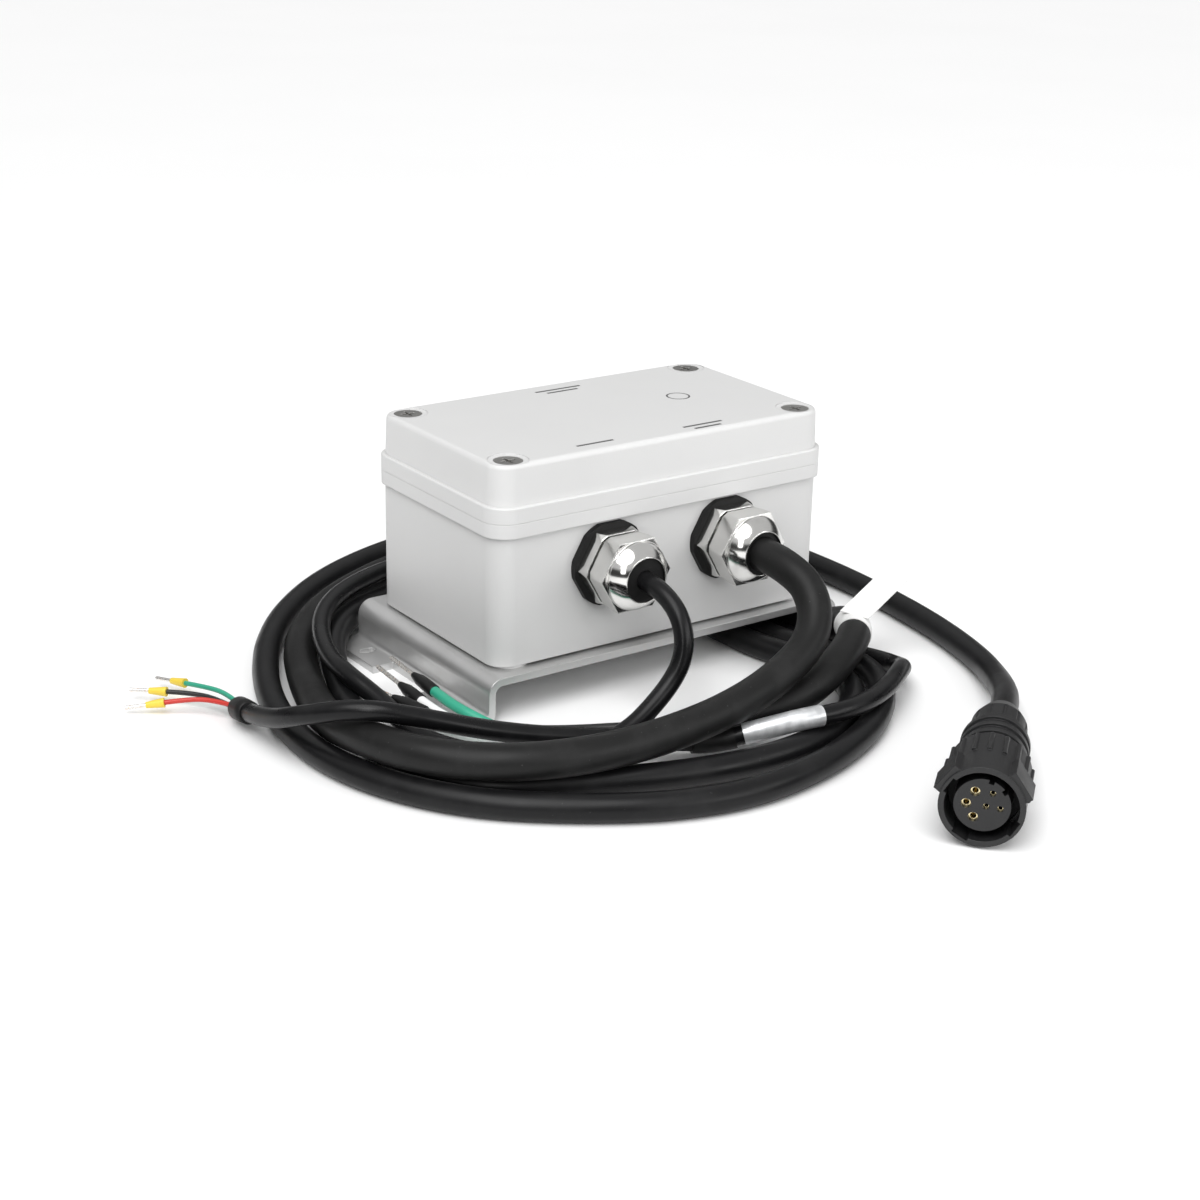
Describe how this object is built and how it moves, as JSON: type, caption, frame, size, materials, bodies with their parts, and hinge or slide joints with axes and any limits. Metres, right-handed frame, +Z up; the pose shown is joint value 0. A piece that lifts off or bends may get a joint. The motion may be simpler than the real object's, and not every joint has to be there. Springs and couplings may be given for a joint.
{
  "type": "surge protection junction box",
  "caption": "Sealed junction box on a folded bracket, with cable glands, power and data cables to bare ends, and an output cable to a round plug.",
  "frame": {"origin": "on the floor, at the centre of the bracket's slots, under the bracket's feet", "axes": "+X along the enclosure's long side, +Z up out of the lid, -Y out of the face with two glands"},
  "size_m": [0.3263, 0.3723, 0.098],
  "materials": {
    "enclosure_paint": "satin powder coat",
    "bracket_steel": "satin",
    "screw_steel": "satin",
    "plated_brass": "bright nickel plate",
    "seal_rubber": "matte",
    "insert_rubber": "matte",
    "cable_rubber": "matte",
    "cable_jacket": "satin",
    "data_jacket": "satin",
    "lead_insulation": "satin",
    "green_insulation": "satin",
    "white_insulation": "satin",
    "black_insulation": "satin",
    "red_insulation": "satin",
    "shrink_tube": "satin",
    "tinned_copper": "bright",
    "yellow_plastic": "satin",
    "silver_label": "metallic film",
    "white_label": "paper",
    "plug_plastic": "matte",
    "insert_plastic": "satin",
    "contact_brass": "bright",
    "board_green": "solder mask",
    "terminal_plastic": "satin",
    "varistor_blue": "dipped epoxy",
    "ceramic": "ceramic",
    "fuse_glass": "clear",
    "diode_epoxy": "matte",
    "ferrite": "matte"
  },
  "bodies": {
    "box": {"board_screws": "screw_steel", "bracket_screws": "screw_steel", "cable_flag_label": "white_label", "data_cable": "data_jacket", "data_end_sleeve": "shrink_tube", "data_gland_body": "plated_brass", "data_gland_insert": "insert_rubber", "data_gland_seal": "seal_rubber", "data_locknut": "plated_brass", "data_tape_sleeve": "shrink_tube", "data_terminal_block": "terminal_plastic", "data_wire_black": "black_insulation", "data_wire_green": "green_insulation", "data_wire_red": "red_insulation", "enclosure_base": "enclosure_paint", "ferrule_collars": "yellow_plastic", "ferrule_pins": "tinned_copper", "fuse_in_clips": "fuse_glass", "gas_discharge_tube": "ceramic", "inner_leads": "lead_insulation", "jacket_tails": "cable_jacket", "line_choke": "ferrite", "mounting_bracket": "bracket_steel", "output_cable": "cable_jacket", "output_gland_body": "plated_brass", "output_gland_insert": "insert_rubber", "output_gland_seal": "seal_rubber", "output_locknut": "plated_brass", "output_terminal_block": "terminal_plastic", "plug_contacts": "contact_brass", "plug_end_cap": "plug_plastic", "plug_insert": "insert_plastic", "plug_seals": "seal_rubber", "plug_shell": "plug_plastic", "power_cable": "cable_rubber", "power_core_black": "black_insulation", "power_core_boots": "shrink_tube", "power_core_green": "green_insulation", "power_core_strands": "tinned_copper", "power_core_white": "white_insulation", "power_gland_body": "plated_brass", "power_gland_insert": "insert_rubber", "power_gland_seal": "seal_rubber", "power_locknut": "plated_brass", "power_terminal_block": "terminal_plastic", "protection_board": "board_green", "silver_wrap": "silver_label", "suppressor_diodes": "diode_epoxy", "terminal_screws": "screw_steel", "varistors": "varistor_blue"},
    "lid": {"enclosure_lid": "enclosure_paint", "lid_gasket": "seal_rubber"},
    "coupling_ring": {"plug_coupling_ring": "plug_plastic"},
    "screw_front_left": {"cover_screw_front_left": "screw_steel"},
    "screw_front_right": {"cover_screw_front_right": "screw_steel"},
    "screw_back_left": {"cover_screw_back_left": "screw_steel"},
    "screw_back_right": {"cover_screw_back_right": "screw_steel"},
    "power_nut": {"power_dome_nut": "plated_brass"},
    "data_nut": {"data_dome_nut": "plated_brass"},
    "output_nut": {"output_dome_nut": "plated_brass"}
  },
  "joints": [
    {"name": "lid_lift", "type": "slide", "parent": "box", "child": "lid", "axis": [0, 0, 1], "range_m": [0, 0.06]},
    {"name": "turn_screw_front_left", "type": "hinge", "parent": "lid", "child": "screw_front_left", "pos_m": [-0.0688, -0.0364, 0.0975], "axis": [0, 0, -1], "continuous": true},
    {"name": "turn_screw_front_right", "type": "hinge", "parent": "lid", "child": "screw_front_right", "pos_m": [0.0688, -0.0364, 0.0975], "axis": [0, 0, -1], "continuous": true},
    {"name": "turn_screw_back_left", "type": "hinge", "parent": "lid", "child": "screw_back_left", "pos_m": [-0.0688, 0.0364, 0.0975], "axis": [0, 0, -1], "continuous": true},
    {"name": "turn_screw_back_right", "type": "hinge", "parent": "lid", "child": "screw_back_right", "pos_m": [0.0688, 0.0364, 0.0975], "axis": [0, 0, -1], "continuous": true},
    {"name": "turn_power_nut", "type": "hinge", "parent": "box", "child": "power_nut", "pos_m": [0.0283, -0.062, 0.0528], "axis": [0, -1, 0], "range_deg": [-720, 0]},
    {"name": "turn_data_nut", "type": "hinge", "parent": "box", "child": "data_nut", "pos_m": [-0.0283, -0.062, 0.0528], "axis": [0, -1, 0], "range_deg": [-720, 0]},
    {"name": "turn_output_nut", "type": "hinge", "parent": "box", "child": "output_nut", "pos_m": [0, 0.062, 0.0528], "axis": [0, 1, 0], "range_deg": [-720, 0]},
    {"name": "turn_coupling_ring", "type": "hinge", "parent": "box", "child": "coupling_ring", "pos_m": [0.014, -0.2103, 0.01565], "axis": [-0.7659, -0.6429, 0], "range_deg": [0, 90]}
  ]
}
